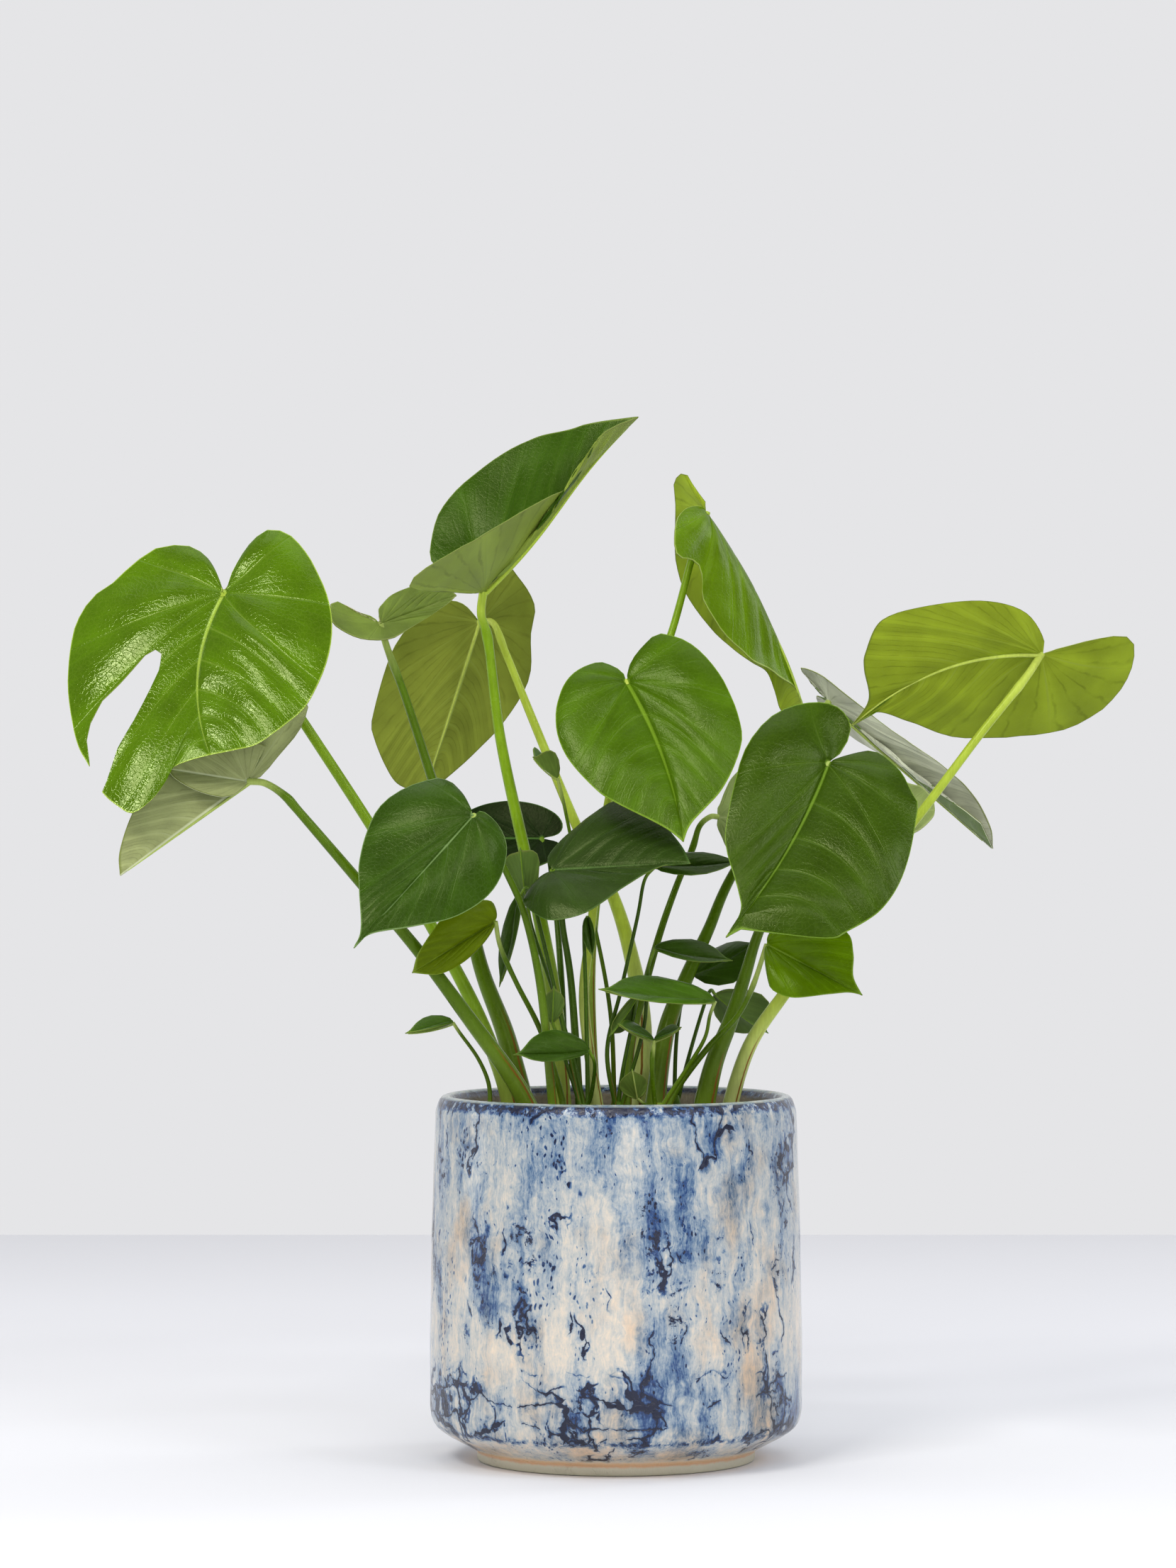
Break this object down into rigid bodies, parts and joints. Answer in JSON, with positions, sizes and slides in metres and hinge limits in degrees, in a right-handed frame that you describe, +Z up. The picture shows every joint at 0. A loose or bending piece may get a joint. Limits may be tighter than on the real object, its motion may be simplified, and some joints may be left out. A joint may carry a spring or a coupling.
{
  "type": "potted monstera plant",
  "caption": "Young monstera with long-stalked heart-shaped leaves, one of them split, growing from soil in a round glazed pot with a narrower foot; stands on a floor or table.",
  "frame": {"origin": "the middle of the pot's flat foot, where the pot rests on the floor", "axes": "+Z up along the pot's axis, -Y towards the front of the picture, +X to its right"},
  "size_m": [0.5996, 0.2887, 0.5911],
  "materials": {
    "glaze": "gloss, streaked blue over cream",
    "soil": "rough potting soil",
    "leaf_bright": "waxy living leaf, glossy upper face",
    "leaf_mid": "waxy living leaf, satin upper face",
    "leaf_dark": "dark satin living leaf",
    "leaf_pale": "leaf that shows its pale matt underside"
  },
  "bodies": {
    "root": {"pot": "glaze", "soil": "soil", "leaf_split": "leaf_bright", "leaf_low_left": "leaf_pale", "leaf_top": "leaf_mid", "leaf_back_left": "leaf_pale", "leaf_back_big": "leaf_pale", "leaf_top_right": "leaf_bright", "leaf_centre": "leaf_mid", "leaf_right_big": "leaf_mid", "leaf_far_right": "leaf_bright", "leaf_behind_right": "leaf_pale", "leaf_pale_right": "leaf_pale", "leaf_front_left": "leaf_mid", "leaf_dark_mid": "leaf_dark", "leaf_dark_back": "leaf_dark", "leaf_lower_right": "leaf_mid", "leaf_lower_left": "leaf_mid", "shoots_right": "leaf_mid", "shoots_mid": "leaf_dark", "shoots_front": "leaf_dark", "shoot_left": "leaf_mid", "shoots_back": "leaf_dark", "shoot_inner": "leaf_mid"}
  },
  "joints": []
}
